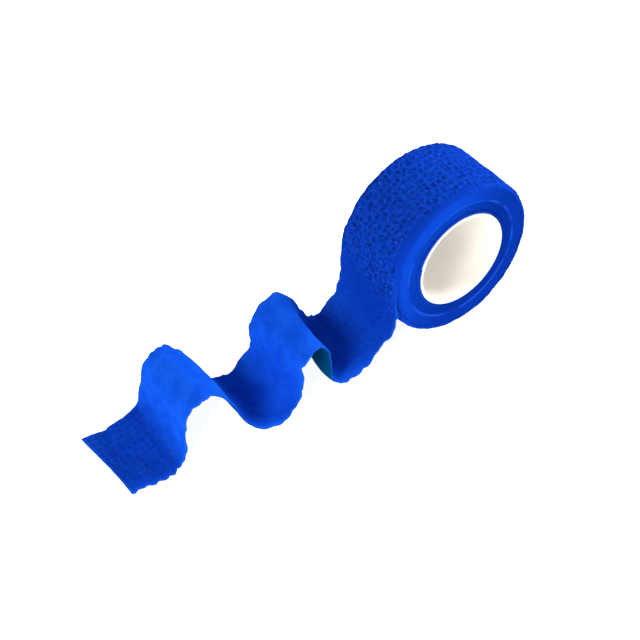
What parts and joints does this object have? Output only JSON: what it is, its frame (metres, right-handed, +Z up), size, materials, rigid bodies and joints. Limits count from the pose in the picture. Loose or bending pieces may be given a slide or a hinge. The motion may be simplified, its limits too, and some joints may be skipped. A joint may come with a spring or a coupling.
{
  "type": "cohesive bandage roll",
  "caption": "Roll of blue crepe cohesive bandage on a white core tube, lying on its side with a wavy loose end run out over the surface.",
  "frame": {"origin": "middle of the flat spot that the roll rests on, straight below the axis of the core tube", "axes": "+X from the loose end towards the roll, +Y along the core's axis, away from the side that faces the viewer, +Z up"},
  "size_m": [0.1441, 0.0272, 0.0514],
  "materials": {
    "crepe_blue": "matte crinkled crepe",
    "core_white": "smooth, softly glossy"
  },
  "bodies": {
    "root": {"core_tube": "core_white", "wound_roll": "crepe_blue", "loose_end": "crepe_blue"}
  },
  "joints": []
}
